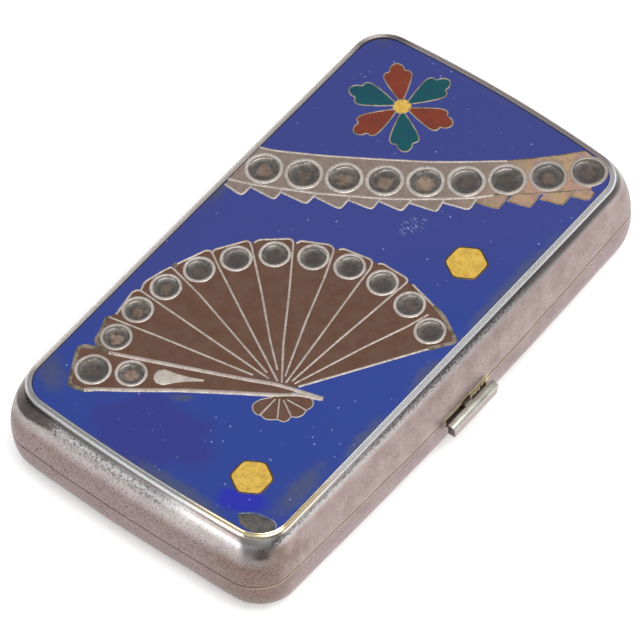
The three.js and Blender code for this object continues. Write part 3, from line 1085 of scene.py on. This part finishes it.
# %% Bend a wire
def wire(points, width, closed=False, radius=0.35, crown=0.09):
    """One flattened wire along a path, as a bmesh."""
    curve = bpy.data.curves.new("wire", "CURVE")
    curve.dimensions = "3D"
    curve.bevel_depth = width / 2
    curve.bevel_resolution = 2
    curve.use_fill_caps = True
    path = rounded(points, radius, closed)
    spline = curve.splines.new("POLY")
    spline.points.add(len(path) - 1)
    spline.use_cyclic_u = closed
    for point, bend in zip(spline.points, path):
        point.co = (bend.x, bend.y, 0, 1)
        point.radius = 1 + 0.18 * noise.noise(Vector((bend.x * 0.9, bend.y * 0.9, width * 7)))
    holder = add_object("wire", curve)
    bm = as_bmesh(holder)
    bpy.data.objects.remove(holder)
    bpy.data.curves.remove(curve)
    bmesh.ops.scale(bm, vec=(1, 1, crown / (width / 2)), verts=bm.verts)
    bmesh.ops.remove_doubles(bm, verts=bm.verts, dist=1e-4)
    bmesh.ops.recalc_face_normals(bm, faces=bm.faces)
    return bm


def lay_wires(name, paths, width, material, **bend):
    """One piece of wires that all have the same width."""
    finish_on_enamel(joined([wire(path, width, **bend) for path in paths]), name, material)


# %% Finish of the wire
def fused_silver(name, light, dark, dirt, roughness=0.42):
    """Two clouded tones with dirt in the pores."""
    material, place = new_finish(name)
    broad = cloud(place, 0.5, 4.0, 0.6)
    pores = cloud(place, 3.0, 5.0, 0.75)
    shade = mix(between(broad, 0.4, 0.65), light, dark)
    shade = mix(between(pores, 0.53, 0.66, 0.0, 0.85), shade, dirt)
    return paint(material, Metallic=0.55, Base_Color=shade,
                 Roughness=between(pores, 0.3, 0.7, roughness - 0.08, roughness + 0.16),
                 Normal=bumps(pores, 0.04, 0.7))


silver_wire = fused_silver("fused silver wire", (194, 184, 176), (176, 165, 156), (116, 98, 88), 0.5)
dull_wire = fused_silver("dull wire", (150, 136, 116), (112, 92, 70), (84, 66, 50), 0.5)
worn_wire = fused_silver("worn wire", (150, 138, 124), (92, 76, 62), (72, 56, 44), 0.6)
petal_wire = fused_silver("petal wire", (168, 158, 142), (128, 116, 98), (92, 80, 66), 0.5)
bronze_wire = fused_silver("bronze wire", (92, 76, 60), (74, 62, 52), (56, 46, 40))
pressed_silver = fused_silver("pressed silver", (206, 197, 187), (190, 180, 170), (112, 98, 88))
crumbled_glass = fused_silver("crumbled glass", (120, 128, 150), (70, 84, 130), (52, 62, 96), 0.6)

# %% [markdown]
# ## Fan
#
# Eleven leaves spread from a pivot. Each leaf's wire starts as a short hook on the leaf before,
# follows the outer edge, turns the corner and runs down to the pivot. At both ends of the fan
# the wire has worn down to a broad, dark trace, and so it has round the end of the guard stick.
# Below the pivot the sticks end in a small rosette of thin ribs.

# %% Brown glass of the fan
FAN_EDGE = [
    (-20.5, -30.0), (-20.7, -28.4), (-21.7, -25.7), (-21.6, -25.0), (-21.2, -24.4), (-21.9, -19.4),
    (-21.4, -18.7), (-21.0, -18.4), (-21.6, -17.1), (-20.8, -14.0), (-20.2, -12.3), (-19.8, -12.1),
    (-19.8, -11.3), (-17.9, -6.6), (-17.3, -6.3), (-17.0, -5.8), (-14.1, -1.5), (-13.5, -1.35),
    (-12.9, -1.1), (-12.7, -0.2), (-9.0, 2.8), (-8.3, 2.8), (-7.6, 2.8), (-7.4, 3.5), (-3.3, 5.6),
    (-2.3, 5.4), (-1.6, 5.7), (-1.15, 6.25), (3.8, 7.2), (4.7, 7.0), (5.5, 7.6), (10.2, 7.6), (10.8, 7.1),
    (11.7, 7.2), (16.9, 5.9), (17.4, 5.4), (19.4, 5.1), (23.4, 2.8), (23.4, 2.2), (21.1, -1.0),
    (9.8, -18.3), (9.0, -19.6), (6.5, -20.3), (3.0, -21.8), (-17.3, -30.6)]
GUARD_EDGE = [
    (-19.9, -31.2), (-21.8, -32.3), (-18.2, -38.9), (-15.8, -38.2), (-14.6, -37.1), (-10.4, -34.2),
    (-4.2, -29.6), (3.0, -24.8), (7.7, -21.8), (9.6, -20.3), (10.0, -19.2), (6.5, -20.1), (3.0, -21.8),
    (-17.3, -30.6)]
ROSETTE_EDGE = [
    (8.6, -20.6), (7.9, -22.2), (6.7, -23.6), (6.35, -24.9), (7.1, -25.9), (8.1, -26.1), (8.5, -25.8),
    (9.6, -26.0), (10.6, -25.4), (11.1, -24.9), (12.1, -24.8), (12.6, -24.1), (12.35, -23.2),
    (13.2, -23.0), (13.75, -21.9), (13.5, -21.0), (13.9, -20.1), (13.5, -19.1), (12.4, -18.8)]
inlay("fan_glass", [FAN_EDGE, ROSETTE_EDGE], brown, with_settings=True)
inlay("guard_glass", [rounded(GUARD_EDGE, 1.0, closed=True)], brown, rise=GLASS_RISE + 0.004,
      with_settings=True)

# %% Wires of the leaves
LEAF_WIRES = [
    [(-21.7, -25.4), (-13.3, -23.7), (3.0, -20.7)],
    [(-21.1, -24.4), (-21.9, -19.4), (-21.25, -18.6), (-10.0, -19.1), (3.0, -19.7), (5.3, -19.8)],
    [(-21.0, -18.5), (-21.6, -17.1), (-20.8, -14.0), (-20.2, -12.3), (-19.6, -12.4), (-13.1, -13.85),
     (3.0, -18.7), (4.4, -19.1)],
    [(-19.8, -11.3), (-17.9, -6.6), (-17.3, -6.3), (-16.7, -6.5), (-14.2, -8.0), (-3.3, -14.0),
     (6.7, -19.4)],
    [(-16.8, -6.3), (-17.0, -5.8), (-14.1, -1.5), (-13.5, -1.35), (-12.7, -1.9), (-5.8, -7.9),
     (0.8, -14.0), (5.35, -17.8)],
    [(-12.9, -1.1), (-12.7, -0.2), (-9.0, 2.8), (-8.3, 2.8), (-7.7, 2.1), (-2.3, -5.6), (3.0, -13.5),
     (7.4, -19.3)],
    [(-7.6, 2.7), (-7.4, 3.5), (-3.3, 5.6), (-2.3, 5.4), (-1.7, 4.2), (0.0, 0.2), (3.0, -8.1),
     (7.0, -18.0)],
    [(-1.6, 5.7), (-1.15, 6.25), (3.8, 7.2), (4.5, 6.1), (4.96, 2.2), (6.3, -7.4), (7.85, -18.9)],
    [(4.96, 7.2), (5.5, 7.6), (10.2, 7.6), (10.7, 7.1), (10.6, 6.1), (10.06, 0.3), (9.2, -8.3),
     (8.4, -18.1)],
    [(11.7, 7.2), (16.9, 5.9)],
    [(17.1, 4.15), (15.9, 0.3), (13.2, -6.4), (9.0, -18.2)],
    [(21.1, -1.0), (9.8, -18.3)]]
lay_wires("leaf_wires", LEAF_WIRES, 0.39, silver_wire, radius=0.6)

# %% Wires of the guard sticks and the rosette
GUARD_WIRES = [
    [(-17.3, -30.6), (-8.0, -26.6), (3.0, -21.8), (6.5, -20.1), (10.0, -19.0), (14.3, -17.8)],
    [(-15.8, -38.2), (-14.6, -37.1), (-10.4, -34.2), (-4.2, -29.6), (3.0, -24.8), (7.7, -21.8),
     (9.6, -20.3), (10.8, -19.4), (14.0, -18.0)]]
ROSETTE_RIBS = [[(8.5, -22.2), (8.5, -25.9)], [(9.0, -21.8), (11.1, -24.9)], [(9.6, -21.6), (12.4, -23.2)],
                [(10.0, -21.2), (13.5, -21.0)]]
lay_wires("guard_wires", GUARD_WIRES, 0.74, silver_wire, radius=0.8, crown=0.11)
rosette_wires = [wire(path, 0.3) for path in ROSETTE_RIBS]
rosette_wires.append(wire(ROSETTE_EDGE[1:], 0.2, radius=0.4, crown=0.05))
finish_on_enamel(joined(rosette_wires), "rosette_wires", silver_wire)

# %% Worn ends of the fan, and the fringe of the chip
WORN_EDGES = [
    [(-21.5, -25.3), (-21.7, -25.8), (-20.7, -28.4), (-20.5, -30.1), (-17.6, -30.8)],
    [(-17.6, -30.9), (-19.9, -31.2), (-21.8, -32.3), (-18.2, -38.9), (-15.6, -38.1)],
    [(16.9, 5.9), (19.4, 5.1), (23.4, 2.8), (23.4, 2.2), (21.1, -1.0)],
    [(-19.9, -12.0), (-19.8, -11.3)]]
lay_wires("worn_edges", WORN_EDGES, 0.8, worn_wire, radius=0.9, crown=0.04)
# the glass has crumbled to a pale fringe along the inner edge of the chip
lay_wires("chip_fringe", [CHIP[:7]], 0.34, crumbled_glass, radius=0.5, crown=0.03)

# %% [markdown]
# A drop of silver lies on the guard stick, pressed almost flat. Its half outline is a chain of
# edges, made smooth by subdivision and spun round the drop's own axis.

# %% Drop of silver
DROP_RADIUS = 1.5
DROP_LENGTH = 8.0
DROP_RISE = 0.14
DROP_TURN = 31
DROP_BULB = (-7.7, -29.2, 0)
# along the axis from the middle of the bulb, and out from it, in radii; the tail in lengths
BULB_PROFILE = [(-1, 0.0), (-0.92, 0.42), (-0.6, 0.82), (0, 1), (0.6, 0.86), (1.3, 0.6)]
drop_profile = [(along * DROP_RADIUS, out * DROP_RADIUS) for along, out in BULB_PROFILE]
tail_end = DROP_LENGTH - DROP_RADIUS
drop_profile += [(DROP_LENGTH * 0.45, 0.38 * DROP_RADIUS), (DROP_LENGTH * 0.62, 0.28 * DROP_RADIUS),
                 (tail_end - 0.3, 0.24 * DROP_RADIUS), (tail_end, 0.0)]


def chain(bm, points):
    """Edges through a row of points."""
    corners = [bm.verts.new(point) for point in points]
    return corners, [bm.edges.new(pair) for pair in zip(corners, corners[1:])]


drop = bmesh.new()
edges = chain(drop, [(x, y, 0) for x, y in drop_profile])[1]
bmesh.ops.subdivide_edges(drop, edges=edges, cuts=2, smooth=0.6)
bmesh.ops.spin(drop, geom=drop.verts[:] + drop.edges[:], cent=(0, 0, 0), axis=(1, 0, 0), angle=2 * math.pi,
               steps=32, use_merge=True)
turn_outwards(drop)
bmesh.ops.scale(drop, vec=(1, 1, DROP_RISE / DROP_RADIUS), verts=drop.verts)
bmesh.ops.rotate(drop, cent=(0, 0, 0), matrix=Matrix.Rotation(math.radians(DROP_TURN), 3, "Z"),
                 verts=drop.verts)
bmesh.ops.translate(drop, vec=DROP_BULB, verts=drop.verts)
finish_on_enamel(drop, "silver_drop", pressed_silver)

# %% [markdown]
# ## Strip of settings
#
# A band of tan glass crosses the lid in a wide arc between two wires, and a row of leaning teeth
# hangs from the lower one. On the right the wires are worn thin and dull, and the glass turns
# to a mottled orange and pink.

# %% Tan glass of the strip
UPPER_WIRE = [
    (-24.0, 14.0), (-22.0, 14.7), (-15.0, 18.6), (-7.0, 23.6), (-1.0, 27.5), (3.3, 30.7), (8.5, 34.8),
    (13.3, 39.3), (17.1, 43.6)]
LOWER_WIRE = [
    (-24.0, 6.2), (-20.0, 7.8), (-12.0, 11.8), (-3.2, 17.0), (0.9, 19.8), (5.2, 23.1), (9.0, 26.2),
    (10.9, 28.3), (14.5, 31.0), (19.2, 35.2), (22.3, 37.9)]
STRIP_CORNER = [(22.1, 38.9), (21.5, 40.5), (20.5, 42.0), (18.6, 43.4)]
TEETH = [
    [(-23.8, 6.35), (-23.8, 5.1), (-20.35, 4.95), (-20.3, 7.55)],
    [(-20, 7.95), (-20, 7.1), (-15.75, 7.35), (-16, 9.95)],
    [(-15.6, 10.25), (-15.6, 9.1), (-11.25, 9.65), (-11.3, 12.25)],
    [(-11.2, 12.35), (-11.2, 11.5), (-6.45, 11.95), (-6.6, 15.05)],
    [(-6.5, 15.15), (-6.5, 14.1), (-2.45, 14.85), (-2.7, 17.35)],
    [(-2.4, 17.65), (-2.4, 16.8), (1.45, 17.35), (1.3, 20.15)],
    [(1.4, 20.25), (1.4, 19.3), (5.85, 20.45), (5.3, 23.25)],
    [(5.4, 23.35), (5.4, 22.4), (9.65, 23.75), (9.2, 26.45)],
    [(9.5, 26.65), (9.5, 25.4), (13.25, 26.55), (12.8, 29.75)],
    [(13.3, 30.05), (13.3, 28.6), (17.05, 29.75), (16.5, 32.85)],
    [(17.1, 33.35), (17.1, 31.9), (20.75, 33.05), (20.4, 36.15)],
    [(20.4, 36.35), (20.4, 35.1), (23.4, 36.2), (23.1, 37.9), (22.2, 38.0)]]

# %% The worn right end of the tan glass
tan_place = millimetres(tan)
tints = between(cloud(tan_place, 0.33, 2.0, 0.5), 0.44, 0.56)
warm_glass = mix(tints, (172, 142, 104), (168, 130, 114))
worn = between(cloud(tan_place, 0.55, 5.0, 0.65), 0.5, 0.6, 0.0, 0.7)
right_end = between(across_along_up(tan_place)[0], 6.0, 15.0, 0.0, 0.85)
paint(tan, Base_Color=mix(right_end, colour_of(tan), mix(worn, warm_glass, (128, 112, 98))))
inlay("strip_glass", [UPPER_WIRE + STRIP_CORNER[::-1] + LOWER_WIRE[::-1]], tan, with_settings=True)
inlay("teeth_glass", TEETH, tan, rise=GLASS_RISE - 0.005)

# %% Wires of the strip
WHOLE_TEETH = 8
strip_wires = [wire(UPPER_WIRE[:7], 0.38, radius=1.5), wire(LOWER_WIRE[:8], 0.52, radius=1.5)]
strip_wires += [wire(tooth[1:], 0.4, radius=0.55) for tooth in TEETH[:WHOLE_TEETH]]
finish_on_enamel(joined(strip_wires), "strip_wires", silver_wire)
worn_ends = [wire(UPPER_WIRE[6:], 0.34, radius=1.5, crown=0.05),
             wire(LOWER_WIRE[7:], 0.4, radius=1.5, crown=0.05)]
worn_ends += [wire(tooth[1:4], 0.28, radius=0.7, crown=0.04) for tooth in TEETH[WHOLE_TEETH:]]
finish_on_enamel(joined(worn_ends), "strip_wires_worn", dull_wire)

# %% [markdown]
# ## Flower and hexagons
#
# The flower has six petals, red and teal in turn, round a yellow middle. All are one shape: narrow
# at the middle, widest near the end, with a rounded tip between two small notches. Half of that
# outline is given, mirrored, and turned to each petal's direction.

# %% Petals
PETAL_SIDE = [
    (1.25, 0.28), (3.2, 1.2), (5.2, 2.0), (6.5, 2.32), (7.25, 2.0), (7.3, 1.15), (8.1, 1.15), (8.75, 0.6)]
PETAL_TIP = (9.0, 0.0)
PETAL = PETAL_SIDE + [PETAL_TIP] + [(along, -out) for along, out in reversed(PETAL_SIDE)]
FLOWER = Vector((-11.3, 33.55))
RED_PETALS = [(12, 0.98), (134.5, 0.98), (252, 1.0)]
TEAL_PETALS = [(72.5, 1.0), (193, 1.02), (311.5, 1.01)]


def petal_outline(direction, size):
    turn = Matrix.Rotation(math.radians(direction), 2)
    return [tuple(FLOWER + turn @ (Vector(point) * size)) for point in PETAL]


red_petals = [petal_outline(*petal) for petal in RED_PETALS]
teal_petals = [petal_outline(*petal) for petal in TEAL_PETALS]
inlay("red_petals", red_petals, red)
inlay("teal_petals", teal_petals, teal)
lay_wires("petal_wires", red_petals + teal_petals, 0.26, petal_wire, closed=True, radius=0.45, crown=0.06)


# %% Middle of the flower, and hexagons
def regular_outline(centre, radius, sides, turn=0.0):
    start = math.radians(turn)
    return [tuple(on_arc(centre, radius, start + 2 * math.pi * index / sides)) for index in range(sides)]


MIDDLE_RADIUS = 1.44
HEXAGONS = [regular_outline((15.73, 15.38), 3.41, 6, 30), regular_outline((14.8, -35.5), 3.36, 6, 30)]
inlay("flower_middle", [regular_outline(FLOWER, MIDDLE_RADIUS, 24)], yellow, rise=GLASS_RISE + 0.01)
inlay("hexagons", HEXAGONS, yellow)
lay_wires("hexagon_wires", HEXAGONS, 0.34, bronze_wire, closed=True, radius=0.6, crown=0.05)

# %% [markdown]
# ## Empty settings
#
# Each setting is a collar of silver round a shallow cell. Its stone is lost: the floor is dark,
# slightly dished, and keeps crumbs of brown cement. The half profile is a short chain of edges,
# spun once round the upright axis. Two attributes of the mesh, how near the middle a point is
# and how much cement its cell keeps, tell the finish where the cement lies.

# %% Finish of the cell floors
cell_floor, cell_place = new_finish("dark cell floor")
patina = cloud(cell_place, 0.9, 5.0, 0.65)
towards_middle, left_over = [node("Attribute", "Fac", tree=cell_floor.node_tree, attribute_name=name)
                             for name in ("towards_middle", "cement")]
rim_dust = mix(between(patina, 0.35, 0.65), (92, 90, 88), (116, 110, 105))
bare_floor = mix(between(towards_middle, 0.1, 0.55), rim_dust, (80, 75, 74))
cement_colour = mix(between(patina, 0.4, 0.62), (140, 112, 94), (156, 138, 124))
cement_mask = between(towards_middle + patina, 0.85, 1.2) * left_over
paint(cell_floor, Metallic=0.6, Base_Color=mix(cement_mask, bare_floor, cement_colour),
      Roughness=between(patina, 0.3, 0.7, 0.34, 0.6), Normal=bumps(patina, 0.12, 0.8))

# %% Finish of the collars, duller at the right end of the strip and at the first leaves of the fan
collar_silver = fused_silver("collar silver", (206, 198, 191), (186, 177, 170), (124, 110, 102), 0.36)
collar_place = millimetres(collar_silver)
dull = strongest(between(patch(collar_place, (23, 43), (24, 24)), 0.1, 0.75),
                 between(patch(collar_place, (-18.8, -28.0), (4.5, 10)), 0.0, 0.6, 0.0, 0.7))
paint(collar_silver, Base_Color=mix(dull, colour_of(collar_silver), (170, 161, 153)))

# %% Spin the settings
BROAD_RIM = 0.6
NARROW_RIM = 0.5


def setting_profile(outer, inner):
    """From the foot of the collar over its rim and down to the middle of the cell."""
    return [(outer, -0.2), (outer, 0.03), (outer - 0.05, 0.1), (outer - 0.15, 0.13),
            (inner + 0.1, 0.13), (inner + 0.02, 0.1), (inner, 0.04), (inner - 0.03, -0.3),
            (inner - 0.12, -0.42), (inner * 0.8, -0.5), (inner * 0.55, -0.55), (inner * 0.3, -0.58),
            (0.0, -0.59)]


def setting(centre, radius, cement):
    """One collar with its cell. The collars of the strip have broader rims."""
    rim_width = BROAD_RIM if radius == STRIP_RADIUS else NARROW_RIM
    outer, inner = radius + rim_width / 2, radius - rim_width / 2
    bm = bmesh.new()
    corners, edges = chain(bm, [(x, 0, z) for x, z in setting_profile(outer, inner)])
    bmesh.ops.spin(bm, geom=corners + edges, cent=(0, 0, 0), axis=(0, 0, 1), angle=2 * math.pi, steps=56,
                   use_merge=True)
    bmesh.ops.remove_doubles(bm, verts=bm.verts, dist=1e-4)
    nearness = bm.verts.layers.float.new("towards_middle")
    share = bm.verts.layers.float.new("cement")
    for vert in bm.verts:
        across = vert.co.xy
        spot = Vector((centre[0] + across.x, centre[1] + across.y, 0))
        vert[nearness] = max(1 - across.length / inner, 0.0)
        vert[share] = cement
        if across.length > inner - 0.05:
            vert.co.xy = across * (1 + 0.03 * noise.noise(spot * 0.5))
        else:
            vert.co.z += 0.09 * noise.noise(spot * 1.3) * (1 - (across.length / inner) ** 4)
    for face in bm.faces:
        face.material_index = 1 if face.calc_center_median().xy.length < inner - 0.08 else 0
    bmesh.ops.recalc_face_normals(bm, faces=bm.faces)
    if min(bm.faces, key=lambda face: face.calc_center_median().xy.length).normal.z < 0:
        bmesh.ops.reverse_faces(bm, faces=bm.faces)
    bmesh.ops.translate(bm, vec=(*centre, 0), verts=bm.verts)
    return bm


collars = bmesh.new()
for attribute in ("towards_middle", "cement"):
    collars.verts.layers.float.new(attribute)
for centre, radius, cement in settings:
    join(collars, setting(centre, radius, cement))
finish_on_enamel(collars, "settings", collar_silver, cell_floor, sharp=50)

# %% [markdown]
# ## Floor, light and camera
#
# The case lies on a plain pale floor, which lies a hair below its underside. The floor glows a
# little, a painted light that lifts the case's shadow and lights its walls from below. One broad
# soft light stands above it and a small card shines on the near corner. The room is dim near the
# horizon and bright above, and that, with painted shade in the metal's colour, draws the dark line
# on the shoulder just under the bead. The camera is a long lens, so the case hardly narrows with
# distance.

# %% Floor
floor_bm = bmesh.new()
bmesh.ops.create_grid(floor_bm, x_segments=1, y_segments=1, size=3)
floor_mesh = bpy.data.meshes.new("floor")
floor_bm.to_mesh(floor_mesh)
floor_bm.free()
pale_floor = new_finish("pale floor")[0]
broad = cloud(node("TexCoord", "Object", tree=pale_floor.node_tree), 2.0)
floor_tone = mix(broad, (250, 250, 250), (246, 246, 246))
# painted light: the floor glows a little, to lift the case's shadow and light the walls from below
paint(pale_floor, Roughness=0.9, Emission_Strength=0.35, Base_Color=floor_tone, Emission_Color=floor_tone)
floor_mesh.materials.append(pale_floor)
floor = add_object("floor", floor_mesh)
floor.location.z = -0.05 * MM

# %% Lights
def soft_light(name, azimuth, elevation, distance, size, power):
    """A square soft light that looks at the case from a direction round it."""
    away = direction_of(azimuth, elevation)
    data = bpy.data.lights.new(name, "AREA")
    data.energy = power
    data.size = size
    lamp = add_object(name, data)
    lamp.location = away * distance
    lamp.rotation_euler = away.to_track_quat("Z", "Y").to_euler()
    lamp.visible_camera = False


def direction_of(azimuth, elevation):
    """From the case towards a place round it: azimuth 0 is the near end, 90 the right side."""
    turn, rise = math.radians(azimuth), math.radians(elevation)
    return Vector((math.sin(turn) * math.cos(rise), -math.cos(turn) * math.cos(rise), math.sin(rise)))


soft_light("overhead", 75, 68, 1.2, 0.9, 12.5)
soft_light("front card", -14, 8, 1.2, 0.4, 1.6)

# %% Room
HORIZON = (0.05, 0.05, 0.055, 1.0)
ABOVE = (0.55, 0.55, 0.55, 1.0)
world = bpy.data.worlds.new("studio")
world.use_nodes = True
sky = world.node_tree
upwards = across_along_up(node("TexCoord", "Generated", tree=sky))[2]
room = node("Mix", 2, [(0, between(upwards, 0.12, 0.5)), (6, HORIZON), (7, ABOVE)], data_type="RGBA")
plug(sky, sky.nodes["Background"].inputs["Color"], room)
bpy.context.scene.world = world
bpy.context.scene.view_settings.view_transform = "Standard"

# %% Camera
CAMERA_AIM = Vector((4.55, -6.54, 0.0))
CAMERA_DISTANCE = 913.0
CAMERA_AZIMUTH = 42.67
CAMERA_ELEVATION = 53.10
CAMERA_ROLL = -4.73
back = direction_of(CAMERA_AZIMUTH, CAMERA_ELEVATION)
camera_data = bpy.data.cameras.new("camera")
camera_data.lens = 337.5
camera_data.sensor_width = 36
camera_data.clip_start = 0.05
camera_data.clip_end = 20
camera = add_object("camera", camera_data)
roll = Matrix.Rotation(math.radians(CAMERA_ROLL), 4, "Z")
facing = back.to_track_quat("Z", "Y").to_matrix().to_4x4() @ roll
camera.matrix_world = Matrix.Translation(to_frame @ (CAMERA_AIM + back * CAMERA_DISTANCE)) @ facing
bpy.context.scene.camera = camera
print("camera at, m:", [round(value, 4) for value in camera.location])
